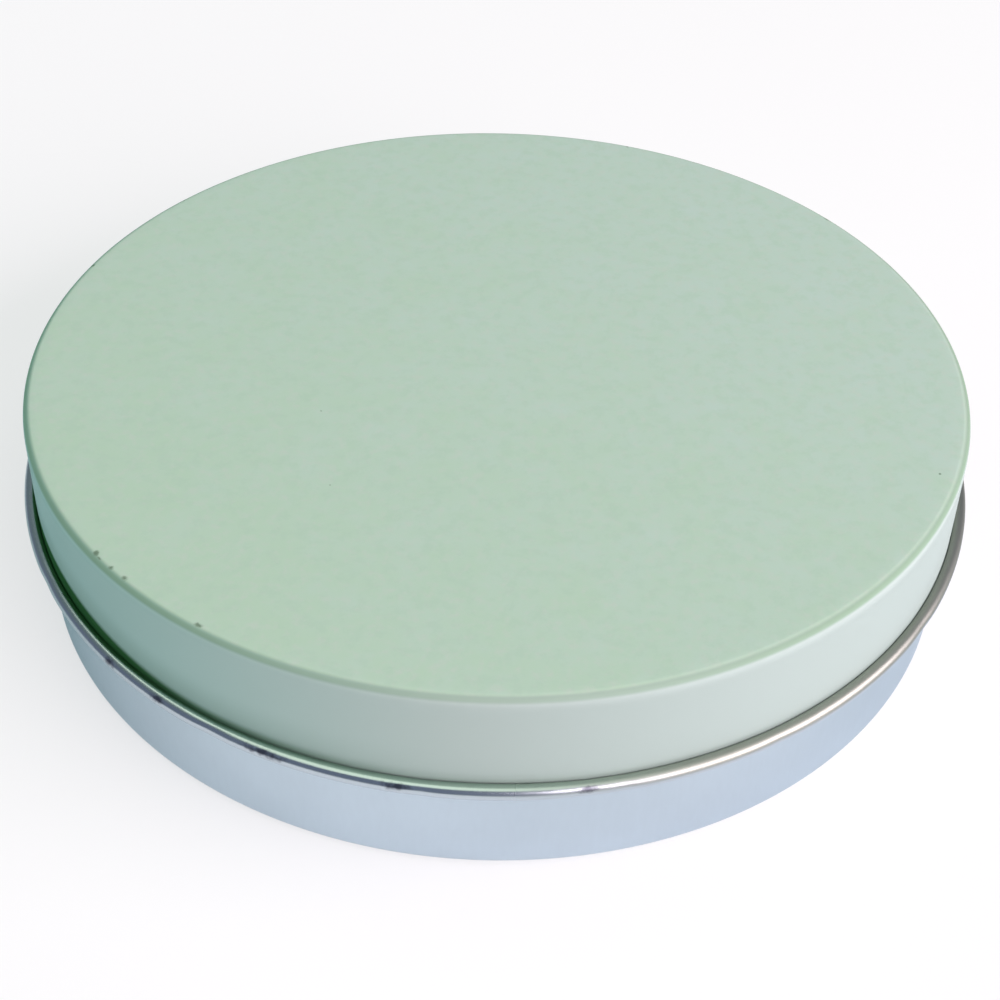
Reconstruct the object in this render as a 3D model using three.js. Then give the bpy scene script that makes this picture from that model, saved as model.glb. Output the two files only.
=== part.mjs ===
// Round slip-lid tin: two cups pressed from tinplate, the lid sliding down over the base.
// Millimetres, +Z up, origin on the table under the middle of the tin.

import * as THREE from 'three';

// Lid
const LID_DIAMETER = 100; // over the straight skirt
const LID_DEPTH = 12.15; // top face to the lowest point of the rolled edge
const LID_SHEET = 0.25; // tinplate gauge
const LID_EDGE_RADIUS = 0.9; // pressed edge, measured outside
const LID_CURL_DIAMETER = 1.55; // rolled edge, measured outside

// Base
const BASE_HEIGHT = 22.45; // table to the top of the rolled rim
const BASE_SHEET = 0.25;
const HEEL_RADIUS = 1; // between wall and foot, measured outside
const FOOT_WIDTH = 4; // flat ring that the tin stands on
const FLOOR_RISE = 0.5; // floor panel pressed up from the foot ring
const FLOOR_BEND_RADIUS = 1; // of the sheet's middle, in the step up to the floor panel
const RIM_CURL_DIAMETER = 1.5; // rolled rim, measured outside

// Clearances
const SLIP_GAP = 0.3; // lid skirt to base wall, all round
const SEAT_GAP = 0.3; // lid panel to base rim, with the tin shut
const RAW_EDGE_GAP = 0.1; // sheet's cut edge to the wall it is rolled back to

// Facets
const SIDES = 72; // round the axis
const BEND_STEP = THREE.MathUtils.degToRad(24); // along a bend or a curl
const NO_RUN = 1e-6; // a straight run shorter than this is only a join between two bends

// Directions in the half section, whose first axis points out and whose second points up
const UP = Math.PI / 2;
const DOWN = -Math.PI / 2;

const LID_FINISH = new THREE.MeshStandardMaterial({
  name: 'sage_enamel',
  color: 0xb5ccbd,
  roughness: 0.35,
  metalness: 0.2,
});
const BASE_FINISH = new THREE.MeshStandardMaterial({
  name: 'bare_tinplate',
  color: 0xc3cedb,
  roughness: 0.3,
  metalness: 1,
});

/**
 * Points along a sheet's middle line, each with the unit normal on the line's left. Past its first run
 * the line is given by its bends alone: a path joins each arc to the one before by a straight run.
 */
function stations(middle) {
  const found = [];
  for (const curve of middle.curves.filter((run) => run.getLength() > NO_RUN)) {
    const steps = bendSteps(curve);
    const first = found.length === 0 ? 0 : 1;
    for (let i = first; i <= steps; i += 1) {
      const along = curve.getTangent(i / steps);
      found.push({
        point: curve.getPoint(i / steps),
        normal: new THREE.Vector2(-along.y, along.x),
      });
    }
  }
  return found;
}

/** One step for a straight run, enough short ones for a bend. */
function bendSteps(curve) {
  if (!curve.isEllipseCurve) {
    return 1;
  }
  const sweep = Math.abs(curve.aEndAngle - curve.aStartAngle);
  return Math.max(2, Math.ceil(sweep / BEND_STEP));
}

/** Closed outline of a sheet of the given gauge: out along its right face, back along its left. */
function sheetOutline(middle, gauge) {
  const right = [];
  const left = [];
  for (const { point, normal } of stations(middle)) {
    right.push(point.clone().addScaledVector(normal, -gauge / 2));
    left.push(point.clone().addScaledVector(normal, gauge / 2));
  }
  return [...right, ...left.reverse()];
}

/** A cup spun from a sheet whose middle line starts on the axis. */
function pressedCup(name, middle, gauge, finish) {
  const geometry = new THREE.LatheGeometry(sheetOutline(middle, gauge), SIDES);
  geometry.rotateX(Math.PI / 2);
  const cup = new THREE.Mesh(geometry, finish);
  cup.name = name;
  return cup;
}

/** How far round a curl turns, from its wall until the cut edge is back beside that wall. */
function curlSweep(diameter, gauge) {
  const clear = (gauge + RAW_EDGE_GAP) / (diameter / 2);
  return 2 * Math.PI - Math.acos(1 - clear);
}

/** The lid: flat panel, rounded edge, straight skirt, edge rolled outwards. Its underside is at z = 0. */
function makeLid() {
  const panelZ = LID_SHEET / 2;
  const skirtR = LID_DIAMETER / 2 - LID_SHEET / 2;
  const edge = LID_EDGE_RADIUS - LID_SHEET / 2;
  const curl = (LID_CURL_DIAMETER - LID_SHEET) / 2;
  const curlZ = LID_SHEET - LID_DEPTH + LID_CURL_DIAMETER / 2;
  const sweep = curlSweep(LID_CURL_DIAMETER, LID_SHEET);

  const middle = new THREE.Path();
  middle.moveTo(0, panelZ);
  middle.lineTo(skirtR - edge, panelZ);
  middle.absarc(skirtR - edge, panelZ - edge, edge, UP, 0, true);
  middle.absarc(skirtR + curl, curlZ, curl, Math.PI, Math.PI + sweep, false);
  return pressedCup('lid', middle, LID_SHEET, LID_FINISH);
}

/** The base: raised floor panel, foot ring, straight wall, rim rolled inwards. Its foot is at z = 0. */
function makeBase() {
  const footZ = BASE_SHEET / 2;
  const floorZ = footZ + FLOOR_RISE;
  const wallR = LID_DIAMETER / 2 - LID_SHEET - SLIP_GAP - BASE_SHEET / 2;
  const heel = HEEL_RADIUS - BASE_SHEET / 2;
  const heelR = wallR - heel;
  const stepTurn = Math.acos(1 - FLOOR_RISE / (2 * FLOOR_BEND_RADIUS));
  const stepOut = FLOOR_BEND_RADIUS * Math.sin(stepTurn);
  const stepR = heelR - FOOT_WIDTH;
  const curl = (RIM_CURL_DIAMETER - BASE_SHEET) / 2;
  const curlZ = BASE_HEIGHT - RIM_CURL_DIAMETER / 2;
  const sweep = curlSweep(RIM_CURL_DIAMETER, BASE_SHEET);

  const middle = new THREE.Path();
  middle.moveTo(0, floorZ);
  middle.lineTo(stepR - 2 * stepOut, floorZ);
  middle.absarc(stepR - 2 * stepOut, floorZ - FLOOR_BEND_RADIUS, FLOOR_BEND_RADIUS, UP, UP - stepTurn, true);
  middle.absarc(stepR, footZ + FLOOR_BEND_RADIUS, FLOOR_BEND_RADIUS, DOWN - stepTurn, DOWN, false);
  middle.absarc(heelR, footZ + heel, heel, DOWN, 0, false);
  middle.absarc(wallR - curl, curlZ, curl, 0, sweep, false);
  return pressedCup('base', middle, BASE_SHEET, BASE_FINISH);
}

const base = makeBase();
const lid = makeLid();
lid.position.z = BASE_HEIGHT + SEAT_GAP;

const tin = new THREE.Group();
tin.add(base, lid);

export default tin;
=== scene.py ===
from math import acos, cos, degrees, pi, radians, sin

import bpy
import numpy as np
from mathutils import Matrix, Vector


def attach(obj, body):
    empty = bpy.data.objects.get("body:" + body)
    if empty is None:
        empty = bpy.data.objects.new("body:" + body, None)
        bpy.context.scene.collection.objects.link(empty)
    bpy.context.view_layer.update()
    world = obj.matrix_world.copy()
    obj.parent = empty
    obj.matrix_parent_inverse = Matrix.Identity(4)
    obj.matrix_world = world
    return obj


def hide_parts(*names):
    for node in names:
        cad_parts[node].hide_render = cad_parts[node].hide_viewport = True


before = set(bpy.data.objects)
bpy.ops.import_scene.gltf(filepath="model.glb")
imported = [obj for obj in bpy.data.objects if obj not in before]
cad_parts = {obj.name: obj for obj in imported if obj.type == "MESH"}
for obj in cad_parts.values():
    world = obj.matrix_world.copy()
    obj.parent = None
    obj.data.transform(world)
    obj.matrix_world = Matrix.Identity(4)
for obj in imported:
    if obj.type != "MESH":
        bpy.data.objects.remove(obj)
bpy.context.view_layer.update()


# Base: a cup drawn from one disc of bare tinplate, 0.25 mm thick, with a floor pressed up inside a flat
# foot ring and a rim rolled inwards to a safe edge. Nothing fixes it: the lid slips down over its wall.

base_gauge = 0.25e-3
base_wall = 49.45e-3 - base_gauge / 2  # radii here are to the middle of the sheet
base_heel = 1.0e-3 - base_gauge / 2
base_rim = 22.45e-3
base_rim_roll = (1.5e-3 - base_gauge) / 2
foot_width = 4.0e-3
floor_rise = 0.5e-3
floor_bend = 1.0e-3
raw_edge_gap = 0.1e-3
crease = radians(50)  # faces that meet at more than this keep a sharp edge
tin_colour = (0.566, 0.676, 0.746, 1)
tin_satin = 0.29
tarnish_left = 0.90  # share of the metal's colour left where tarnish is thickest
tarnish_patches = (0.3, 0.75)
patch_share = 0.6
grain_share = 0.4
patch_satin = 0.06
worn_satin = 0.22


def bend(out, up, radius, start, end, steps):
    """Stations round a bend of a sheet's middle line: place out and up, then the unit normal on its left."""
    turn = 1 if end > start else -1
    angles = np.radians(np.linspace(start, end, steps + 1))
    around = np.stack([np.cos(angles), np.sin(angles)], axis=1)
    return np.hstack([np.array([out, up]) + radius * around, -turn * around])


def run(start, end, steps):
    """Stations along a straight run of a sheet's middle line, without the run's last point."""
    start, end = np.array(start), np.array(end)
    along = (end - start) / np.linalg.norm(end - start)
    places = start + np.linspace(0, 1, steps + 1)[:-1, None] * (end - start)
    return np.hstack([places, np.tile([-along[1], along[0]], (steps, 1))])


def roll_turn(roll, gauge):
    """Degrees that a rolled edge turns through before its cut edge is back beside its own wall."""
    outside = roll + gauge / 2
    return 360 - degrees(acos(1 - (gauge + raw_edge_gap) / outside))


def spin(name, middle, gauge, finishes, shape=None, sides=360):
    """A cup spun from stations of its sheet's middle line, which starts on the axis. The line's right face
    and the cut edge take the first finish, its left face the second."""
    line = np.vstack(middle)
    right = line[:, :2] - line[:, 2:] * gauge / 2
    left = line[:, :2] + line[:, 2:] * gauge / 2
    outline = np.vstack([right, left[::-1]])
    rings = outline[1:-1]
    turn = np.arange(sides) * 2 * pi / sides
    out, angle = np.meshgrid(rings[:, 0], turn, indexing="ij")
    up = np.repeat(rings[:, 1:], sides, axis=1)
    if shape:
        out, up = shape(out, up, angle)
    points = np.stack([out * np.cos(angle), out * np.sin(angle), up], axis=-1).reshape(-1, 3)
    points = np.vstack([points, [(0, 0, outline[0, 1]), (0, 0, outline[-1, 1])]])
    first, last = len(points) - 2, len(points) - 1
    here = np.arange(sides)
    beside = (here + 1) % sides
    faces = [(first, b, a) for a, b in zip(here, beside)]
    for j in range(len(rings) - 1):
        low, high = j * sides, (j + 1) * sides
        faces += list(zip(low + here, low + beside, high + beside, high + here))
    low = (len(rings) - 1) * sides
    faces += [(low + a, low + b, last) for a, b in zip(here, beside)]
    mesh = bpy.data.meshes.new(name)
    mesh.from_pydata(points.tolist(), [], [tuple(int(i) for i in f) for f in faces])
    band = np.concatenate([[0] * sides, np.repeat(np.arange(1, len(rings)), sides), [len(rings)] * sides])
    mesh.polygons.foreach_set("material_index", (band > len(right) - 1).astype(np.int32))
    mesh.polygons.foreach_set("use_smooth", np.ones(len(faces), dtype=bool))
    mesh.set_sharp_from_angle(angle=crease)
    for finish in finishes:
        mesh.materials.append(finish)
    cup = bpy.data.objects.new(name, mesh)
    bpy.context.scene.collection.objects.link(cup)
    return cup


class Wire:
    """One output socket in a finish's nodes. Sums on it add Math nodes, and node() adds any other node."""

    def __init__(self, tree, socket=None):
        self.tree = tree
        self.socket = socket

    def node(self, kind, settings=None, inputs=None, output=0):
        made = self.tree.nodes.new(kind)
        for key, value in (settings or {}).items():
            setattr(made, key, value)
        for key, value in (inputs or {}).items():
            if isinstance(value, Wire):
                self.tree.links.new(value.socket, made.inputs[key])
            else:
                made.inputs[key].default_value = value
        return Wire(self.tree, made.outputs[output] if len(made.outputs) else None)

    def sum(self, operation, a, b):
        return self.node("ShaderNodeMath", {"operation": operation}, {0: a, 1: b})

    def __add__(self, other):
        return self.sum("ADD", self, other)

    __radd__ = __add__

    def __sub__(self, other):
        return self.sum("SUBTRACT", self, other)

    def __rsub__(self, other):
        return self.sum("SUBTRACT", other, self)

    def __mul__(self, other):
        return self.sum("MULTIPLY", self, other)

    __rmul__ = __mul__

    def step(self, low, high):
        """0 below low and 1 above high, smooth between; falling where low is the larger."""
        ends = {"From Min": min(low, high), "From Max": max(low, high)}
        ends |= {"To Min": 0.0 if low < high else 1.0, "To Max": 1.0 if low < high else 0.0}
        return self.node("ShaderNodeMapRange", {"interpolation_type": "SMOOTHSTEP"}, {"Value": self} | ends)

    def blend(self, a, b):
        """Colour a where this is 0, colour b where it is 1."""
        return self.node("ShaderNodeMix", {"data_type": "RGBA"}, {0: self, 6: a, 7: b}, 2)


def new_finish(name):
    """An empty material, a Wire to build its nodes with, and the place on the piece that they start from."""
    finish = bpy.data.materials.new(name)
    finish.use_nodes = True
    finish.node_tree.nodes.clear()
    wire = Wire(finish.node_tree)
    return finish, wire, wire.node("ShaderNodeTexCoord", output="Object")


def noise(place, lumps, detail=2.0, roughness=0.5):
    """Cloudy noise from 0 to 1, with so many lumps to the metre along each axis."""
    scaled = place.node("ShaderNodeVectorMath", {"operation": "MULTIPLY"}, {0: place, 1: lumps})
    wanted = {"Vector": scaled, "Scale": 1.0, "Detail": detail, "Roughness": roughness}
    return place.node("ShaderNodeTexNoise", {"noise_dimensions": "3D"}, wanted)


def bare_tin(name, colour, satin, wear_and_light=None):
    """Bare tinplate: faint cloudy tarnish, a fine grain in its colour and a satin shine. From the place and
    the tone, the last argument gives the tone that wear and painted light leave there, and how much duller
    the metal is there."""
    finish, wire, place = new_finish(name)
    clouds = noise(place, (60, 60, 90))
    grain = noise(place, (1800, 1800, 500))
    dull = tuple(c * tarnish_left for c in colour[:3]) + (1,)
    tone = (clouds.step(*tarnish_patches) * patch_share + grain * grain_share).blend(colour, dull)
    roughness = clouds * patch_satin + satin
    if wear_and_light:
        tone, dulled = wear_and_light(place, tone)
        roughness = dulled * worn_satin + roughness
    wire.node("ShaderNodeOutputMaterial", None, {"Surface": wire.node("ShaderNodeBsdfPrincipled", None, {
        "Base Color": tone,
        "Metallic": 1.0,
        "Roughness": roughness,
        "Normal": wire.node("ShaderNodeBump", None, {"Strength": 0.02, "Distance": 2e-5, "Height": grain}),
    })})
    return finish


tinplate = bare_tin("bare_tinplate", tin_colour, tin_satin)

heel_out = base_wall - base_heel
step_out = heel_out - foot_width
step_turn = degrees(acos(1 - floor_rise / (2 * floor_bend)))
step_width = floor_bend * sin(radians(step_turn))
foot_up = base_gauge / 2
floor_up = foot_up + floor_rise
rim_up = base_rim - base_gauge / 2 - base_rim_roll
base = spin("base_cup", [
    run((0, floor_up), (step_out - 2 * step_width, floor_up), 6),
    bend(step_out - 2 * step_width, floor_up - floor_bend, floor_bend, 90, 90 - step_turn, 6),
    bend(step_out, foot_up + floor_bend, floor_bend, 270 - step_turn, 270, 6)[1:],
    run((step_out, foot_up), (heel_out, foot_up), 3)[1:],
    bend(heel_out, foot_up + base_heel, base_heel, 270, 360, 10),
    run((base_wall, foot_up + base_heel), (base_wall, rim_up), 8)[1:],
    bend(base_wall - base_rim_roll, rim_up, base_rim_roll, 0, roll_turn(base_rim_roll, base_gauge), 26),
], base_gauge, [tinplate, tinplate])
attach(base, "base")
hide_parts("base")


# Lid: a shallower cup of the same tinplate, enamelled matt sage outside before it was pressed, so that the
# enamel is stretched thin and shinier down the skirt. Its lower edge is rolled outwards, which turns the
# bare inside face out. It slips down over the base, and the fit alone holds it.

mm = 1e-3
lid_gauge = 0.25e-3
lid_out = 50.0e-3
lid_skirt = lid_out - lid_gauge / 2
lid_edge = 0.9e-3 - lid_gauge / 2
lid_top = 23.0e-3
lid_depth = 12.15e-3
lid_roll = (1.55e-3 - lid_gauge) / 2
panel_up = lid_top - lid_gauge / 2
panel_plain = 44e-3  # the panel's mesh is finer outside this radius
roll_up = lid_top - lid_depth + lid_gauge / 2 + lid_roll
roll_top = roll_up + lid_roll + lid_gauge / 2
roll_out = lid_skirt + lid_roll
roll_nicks = [  # degrees round the lid, then mm along the edge and mm deep
    (-121, 1.6, 0.10), (-97, 1.0, 0.06), (-80, 2.2, 0.10), (-76, 1.2, 0.07),
    (-58, 1.5, 0.06), (-33, 1.8, 0.08), (14, 2.0, 0.09), (61, 1.4, 0.08),
    (103, 2.4, 0.10), (148, 1.6, 0.07), (178, 1.9, 0.09), (-152, 1.3, 0.08),
]
nick_flattens = 0.5  # share of a nick's depth that also lowers the roll
edge_chips = [  # degrees round the lid, mm from its axis, then mm along and across the edge
    (-139.4, 49.24, 0.42, 0.30), (-138.5, 49.40, 0.30, 0.14), (-136.4, 49.30, 0.34, 0.26),
    (-133.9, 49.24, 0.36, 0.34), (-122.6, 49.20, 0.52, 0.24), (-21.4, 47.74, 0.16, 0.14),
    (-152.7, 20.49, 0.14, 0.10), (-127.4, 26.83, 0.10, 0.10), (38.0, 49.50, 0.50, 0.30),
    (71.5, 49.30, 0.30, 0.22), (118.0, 49.60, 0.45, 0.28), (160.0, 49.40, 0.36, 0.26),
]
chip_reach_up = 0.6e-3
roll_stains = [  # the same, on the outside of the roll
    (-136.0, 51.20, 1.0, 0.40), (-128.0, 51.20, 1.0, 0.40), (-114.0, 51.20, 2.2, 0.50),
    (-99.5, 51.20, 1.5, 0.40), (-80.0, 51.20, 1.3, 0.40), (27.0, 51.20, 1.8, 0.40),
    (84.0, 51.20, 1.2, 0.40), (131.0, 51.20, 2.0, 0.50), (170.0, 51.20, 1.1, 0.40),
]
stain_up = roll_top - 0.4e-3
stain_reach_up = 0.4e-3
mark_rim = (1.25, 0.1)  # a mark fades in between these shares of its size

sage = (0.407, 0.571, 0.434, 1)
sage_cool = (0.440, 0.574, 0.506, 1)
sage_dusty = (0.461, 0.557, 0.479, 1)
sage_smudge = (0.383, 0.541, 0.426, 1)
# Dark green drawn round the edge's bend; partly painted shade that damps the lamps' highlight there
sage_edge = (0.175, 0.295, 0.18, 1)
sage_thin = (0.360, 0.452, 0.416, 1)
# Painted shade: the skirt's colour drawn cooler and bluer on its shaded left side
sage_shaded = (0.340, 0.505, 0.460, 1)
# Painted shade: a very dark green drawn on the skirt just above the roll, where the roll shades it
groove_shade = (0.024, 0.09, 0.03, 1)
rust = (0.10, 0.16, 0.10, 1)

left_side = (2e-3, -36e-3)  # pairs like this one run from where a look starts to where it is full
far_left = (-27e-3, -47e-3)
right_side = (5e-3, 35e-3)
front_side = (36e-3, 4e-3)
edge_out = (lid_out - 0.85e-3, lid_out - 0.30e-3)
edge_up = (lid_top - 0.70e-3, lid_top - 0.35e-3)
edge_share = 0.42
edge_share_at_sides = 0.30
matt_out = (lid_out - 1.2e-3, lid_out - 0.5e-3)
matt_up = (lid_top - 1.2e-3, lid_top - 0.6e-3)
stretched_up = (lid_top - 0.01e-3, lid_top - 0.15e-3)
glossy_up = (lid_top - 0.8e-3, lid_top - 1.6e-3)
# Painted shade above the roll: a faint wide band and a darker narrow one on the left and front, reaching
# higher at the far left, and a faint line all round the skirt's foot
faint_shade_up = (roll_top + 4.6e-3, roll_top + 1.2e-3)
faint_shade_share = 0.2
shade_up = (roll_top + 1.0e-3, roll_top)
shade_share = 0.8
shade_climbs = 1.6e-3  # so much higher at the far left
foot_shade_up = (roll_top + 0.6e-3, roll_top - 0.1e-3)
foot_shade_share = 0.2
cool_sheen_drift = 1.2  # painted sheen: the paint is drawn cooler to the right and back, by so much to the metre
cool_clouds = 0.2
cool_mottle = 0.2
cool_range = (0.04, 0.38)
dust_patches = (0.45, 0.75)
dust_share = 0.6
smudge_patches = (0.45, 0.70)
smudge_share = 0.5
rust_share = 0.8
peel_height = 0.5
chip_height = 1.5
skirt_metal = 0.25
enamel_matt = 0.60
cloud_matt = 0.05
chip_matt = 0.10
edge_matt = 0.08
skirt_gloss = 0.30
coat_share = 0.03


def knocked(out, up, angle):
    """The lid as handling has left it, with small nicks pressed into its rolled edge."""
    reach_out, reach_up = out - roll_out, up - roll_up
    on_roll = (np.hypot(reach_out, reach_up) < lid_roll + lid_gauge) & (out > lid_skirt)
    for where, width, depth in roll_nicks:
        away = (angle - radians(where) + pi) % (2 * pi) - pi
        pressed = depth * mm * np.exp(-(away * roll_out / (width * mm)) ** 2) * on_roll
        share = pressed / (lid_roll + lid_gauge / 2)
        out = out - reach_out * share * (reach_out > 0)
        up = up - reach_up * share * nick_flattens
    return out, up


def axis(place, name):
    """How far a place lies along X, Y or Z."""
    return place.node("ShaderNodeSeparateXYZ", None, {0: place}, name)


def length(place):
    """How far a place lies from the middle."""
    return place.node("ShaderNodeVectorMath", {"operation": "LENGTH"}, {0: place}, "Value")


def from_axis(place):
    """How far a place lies from the tin's axis."""
    return length(place.node("ShaderNodeVectorMath", {"operation": "MULTIPLY"}, {0: place, 1: (1, 1, 0)}))


def marked(place, marks, up, reach_up):
    """Small ragged marks at one height on the lid."""
    ragged = (noise(place, (1700, 1700, 1700), detail=3.0) - 0.5) * 2.0
    found = None
    for where, out, along, across in marks:
        turn = radians(where)
        reach = place.node("ShaderNodeMapping", {"vector_type": "TEXTURE"}, {
            "Vector": place,
            "Location": (out * mm * cos(turn), out * mm * sin(turn), up),
            "Rotation": (0, 0, turn),
            "Scale": (across * mm, along * mm, reach_up),
        })
        mark = (length(reach) + ragged).step(*mark_rim)
        found = mark if found is None else place.sum("MAXIMUM", found, mark)
    return found


enamel, wire, place = new_finish("sage_enamel")
across = axis(place, "X")
along = axis(place, "Y")
up = axis(place, "Z")
out = from_axis(place)
clouds = noise(place, (150, 150, 150), detail=3.0, roughness=0.55)
mottle = noise(place, (420, 420, 420), detail=3.0, roughness=0.6)
dust = noise(place, (1100, 1100, 1100), detail=3.0, roughness=0.6)
smudges = noise(place, (640, 640, 640), detail=3.0, roughness=0.65)
peel = noise(place, (1500, 1500, 1500))
chipped = marked(place, edge_chips, lid_top, chip_reach_up)

bent = out.step(*edge_out) * up.step(*edge_up)
matt_edge = out.step(*matt_out) * up.step(*matt_up)
stretched = up.step(*stretched_up)
glossy = up.step(*glossy_up)
# Painted shade: the skirt is darkened just above the roll, most on the shaded left and front side, with a
# faint line all round its foot
shaded_side = across.step(*left_side) * along.step(*front_side)
at_sides = shaded_side + across.step(*right_side)
shade_from = up - across.step(*far_left) * shade_climbs
groove_shading = (shade_from.step(*faint_shade_up) * faint_shade_share + shade_from.step(*shade_up) * shade_share) * shaded_side
groove_shading = wire.sum("MAXIMUM", up.step(*foot_shade_up) * foot_shade_share, groove_shading)

# The clouds and mottle give random tone; the drift to the right and back is a painted sheen
cool = clouds * cool_clouds + mottle * cool_mottle + (across + along) * cool_sheen_drift
paint = cool.step(*cool_range).blend(sage, sage_cool)
paint = (dust.step(*dust_patches) * dust_share).blend(paint, sage_dusty)
paint = (smudges.step(*smudge_patches) * smudge_share).blend(paint, sage_smudge)
# The skirt takes its painted-shade colour on the left, and the painted groove shade just above the roll
skirt = groove_shading.blend(shaded_side.blend(sage_thin, sage_shaded), groove_shade)
body = stretched.blend(paint, skirt)
# The bend at the lid's edge is drawn darker green, more at the left and right sides; this line is partly
# painted shade, drawn to damp the lamps' highlight on the bend
body = (bent * (at_sides * edge_share_at_sides + edge_share)).blend(body, sage_edge)
worn_matt = clouds * cloud_matt + chipped * chip_matt + matt_edge * edge_matt
height = peel * (1 - stretched) * peel_height - chipped * chip_height
wire.node("ShaderNodeOutputMaterial", None, {"Surface": wire.node("ShaderNodeBsdfPrincipled", None, {
    "Base Color": (chipped * rust_share).blend(body, rust),
    "Metallic": glossy * (1 - groove_shading) * skirt_metal,
    "Roughness": worn_matt - glossy * skirt_gloss + enamel_matt,
    "Specular IOR Level": 0.0,
    "Normal": wire.node("ShaderNodeBump", None, {"Strength": 0.10, "Distance": 3e-5, "Height": height}),
    "Coat Weight": (1 - chipped) * (1 - matt_edge) * (1 - groove_shading) * coat_share,
    "Coat Roughness": 0.18,
    "Coat IOR": 1.5,
})})

inside_colour = (0.54, 0.62, 0.67, 1)
inside_satin = 0.20
# Painted reflection: the pale green drawn along the roll's crest, as if mirroring the skirt above it
crest_skirt_reflection = (0.50, 0.62, 0.53, 1)
# Painted shade: the darker olive drawn on the roll's right half, toning down the lamps' highlight there
roll_shade_colour = (0.29, 0.31, 0.265, 1)
stain_colour = (0.06, 0.06, 0.09, 1)
stain_share = 0.8
roll_from = (lid_out, lid_out + 0.15e-3)
crest_reflection_up = (roll_top - 0.28e-3, roll_top - 0.08e-3)
roll_shade_up = (roll_top - 0.90e-3, roll_top - 0.45e-3)
roll_right_side = (-5e-3, 22e-3)


def roll_stains_and_painted_light(place, tone):
    """On the rolled edge: a painted reflection of the green skirt on its crest, painted olive shade on its
    right half, which is also dulled, and some dark stains.
    """
    on_roll = from_axis(place).step(*roll_from)
    up = axis(place, "Z")
    dulled = on_roll * axis(place, "X").step(*roll_right_side)
    # Painted reflection: the roll's crest is drawn pale green, as if mirroring the skirt
    tone = (on_roll * up.step(*crest_reflection_up)).blend(tone, crest_skirt_reflection)
    # Painted shade: the upper right half of the roll is drawn darker olive; that half is also made duller
    tone = (dulled * on_roll * up.step(*roll_shade_up)).blend(tone, roll_shade_colour)
    stained = marked(place, roll_stains, stain_up, stain_reach_up) * stain_share
    return stained.blend(tone, stain_colour), dulled


lid_inside = bare_tin("lid_inside_tinplate", inside_colour, inside_satin, roll_stains_and_painted_light)
lid = spin("lid_cup", [
    run((0, panel_up), (panel_plain, panel_up), 22),
    run((panel_plain, panel_up), (lid_skirt - lid_edge, panel_up), 6),
    bend(lid_skirt - lid_edge, panel_up - lid_edge, lid_edge, 90, 0, 12),
    run((lid_skirt, panel_up - lid_edge), (lid_skirt, roll_up), 8)[1:],
    bend(roll_out, roll_up, lid_roll, 180, 180 + roll_turn(lid_roll, lid_gauge), 32),
], lid_gauge, [lid_inside, enamel], knocked)
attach(lid, "lid")
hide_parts("lid")


# Floor: a plain white studio table, far wider than the view, which keeps the tin's soft shadow. Where the
# metal mirrors it, it has a sheen that is pale before and behind the tin and dim beside it and further off.
# It turns white far off, and it is clear from beneath, so that the underside of the tin can be seen.

floor_reach = 3.0
floor_colour = (0.86, 0.87, 0.88, 1)
plain_white = (1, 1, 1, 1)
sheen_beside = (0.20, 0.38, 0.40, 1)
sheen_front = (1.0, 0.98, 1.0, 1)
sheen_back = (0.74, 0.76, 0.80, 1)
sheen_far = (0.18, 0.22, 0.26, 1)
sheen_under = (0.46, 0.49, 0.53, 1)
front_from = (-10e-3, -58e-3)
back_from = (0.0, 45e-3)
far_from = (85e-3, 115e-3)
under_from = (47e-3, 41e-3)
sheen_share = 0.45
sheen_more_far = 0.45
white_from = (0.15, 0.5)
white_share = 0.62
white_more_far = 0.38


def mixed(share, shader, other):
    """One shader where share is 0, the other where it is 1."""
    return share.node("ShaderNodeMixShader", None, {0: share, 1: shader, 2: other})


floor_mesh = bpy.data.meshes.new("floor")
corners = [(-floor_reach, -floor_reach, 0), (floor_reach, -floor_reach, 0),
           (floor_reach, floor_reach, 0), (-floor_reach, floor_reach, 0)]
floor_mesh.from_pydata(corners, [], [(0, 1, 2, 3)])
floor = bpy.data.objects.new("floor", floor_mesh)
bpy.context.scene.collection.objects.link(floor)
table_white, wire, place = new_finish("table_white")
seen = wire.node("ShaderNodeLightPath", output="Is Camera Ray")
mirrored = wire.node("ShaderNodeLightPath", output="Is Glossy Ray")
underneath = wire.node("ShaderNodeNewGeometry", output="Backfacing")
along = axis(place, "Y")
away = length(place)
beyond = away.step(*far_from)
sheen = along.step(*front_from).blend(sheen_beside, sheen_front)
sheen = along.step(*back_from).blend(sheen, sheen_back)
sheen = beyond.blend(sheen, sheen_far)
# Beneath the tin the sheen is dimmer: a painted shadow that the base's underside mirrors
sheen = away.step(*under_from).blend(sheen, sheen_under)
plain = wire.node("ShaderNodeBsdfDiffuse", None, {"Color": floor_colour})
gleam = wire.node("ShaderNodeEmission", None, {"Color": sheen, "Strength": 1.0})
glow = wire.node("ShaderNodeEmission", None, {"Color": plain_white, "Strength": 1.0})
clear = wire.node("ShaderNodeBsdfTransparent")
table = mixed(mirrored * (beyond * sheen_more_far + sheen_share), plain, gleam)
table = mixed(seen * (away.step(*white_from) * white_more_far + white_share), table, glow)
wire.node("ShaderNodeOutputMaterial", None, {"Surface": mixed(underneath, table, clear)})
floor_mesh.materials.append(table_white)


# Studio light: a large soft box in front on the right, a weaker one overhead, and a cool one behind on the
# left that the metal does not mirror. The room is dim as a light, a little brighter where the metal mirrors
# it, and plain white where the camera sees it.

lit_middle = (0, 0, 0.01)


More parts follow.
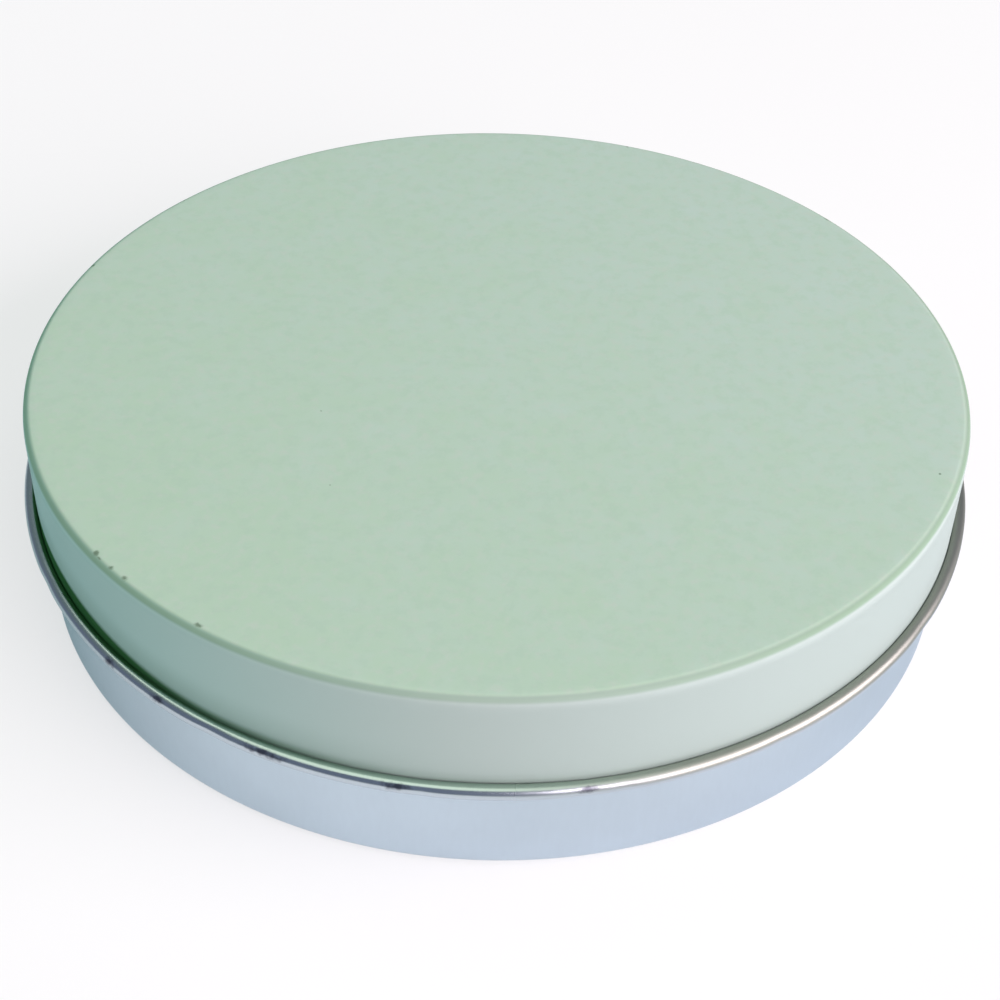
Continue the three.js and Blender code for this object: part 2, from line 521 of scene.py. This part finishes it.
def soft_box(name, spot, width, height, power, colour):
    """A rectangular lamp that faces the tin."""
    light = bpy.data.lights.new(name, "AREA")
    light.shape = "RECTANGLE"
    light.size = width
    light.size_y = height
    light.energy = power
    light.color = colour
    box = bpy.data.objects.new(name, light)
    box.location = spot
    box.rotation_euler = (Vector(spot) - Vector(lit_middle)).to_track_quat("Z", "Y").to_euler()
    bpy.context.scene.collection.objects.link(box)
    return box


key_colour = (1.0, 0.845, 0.925)
top_colour = (1.0, 1.0, 0.92)
fill_colour = (0.58, 0.90, 1.0)
soft_box("key_soft_box", (0.90, -0.563, 0.45), width=1.7, height=0.8, power=30.8, colour=key_colour)
soft_box("top_soft_box", (0.0, 0.0, 0.92), width=1.3, height=1.3, power=5.4, colour=top_colour)
fill = soft_box("fill_soft_box", (-1.1, 0.38, 0.28), width=1.0, height=0.44, power=6.5, colour=fill_colour)
fill.visible_glossy = False
room = bpy.data.worlds.new("pale_room")
bpy.context.scene.world = room
room.use_nodes = True
room.node_tree.nodes.clear()
wire = Wire(room.node_tree)
seen = wire.node("ShaderNodeLightPath", output="Is Camera Ray")
mirrored = wire.node("ShaderNodeLightPath", output="Is Glossy Ray")
dim = wire.node("ShaderNodeBackground", None, {"Color": (0.68, 1.0, 0.99, 1), "Strength": 0.05})
walls = wire.node("ShaderNodeBackground", None, {"Color": (0.66, 0.75, 1.0, 1), "Strength": 0.27})
backdrop = wire.node("ShaderNodeBackground", None, {"Color": plain_white, "Strength": 1.0})
wire.node("ShaderNodeOutputWorld", None, {"Surface": mixed(seen, mixed(mirrored, dim, walls), backdrop)})
bpy.context.scene.view_settings.view_transform = "Standard"


# Camera: hand-held in front of the tin, looking down at 36 degrees from about 0.2 m and tilted a little. Its
# place and lens were fitted to the tin's outlines in the photograph.

view = bpy.data.cameras.new("photo_view")
view.sensor_width = 36
view.lens = 67.59
view.clip_start = 0.01
camera = bpy.data.objects.new("photo_view", view)
camera.location = (0.0, -0.16335, 0.14132)
camera.rotation_euler = (radians(49.857), radians(-1.078), radians(0.721))
bpy.context.scene.collection.objects.link(camera)
bpy.context.scene.camera = camera
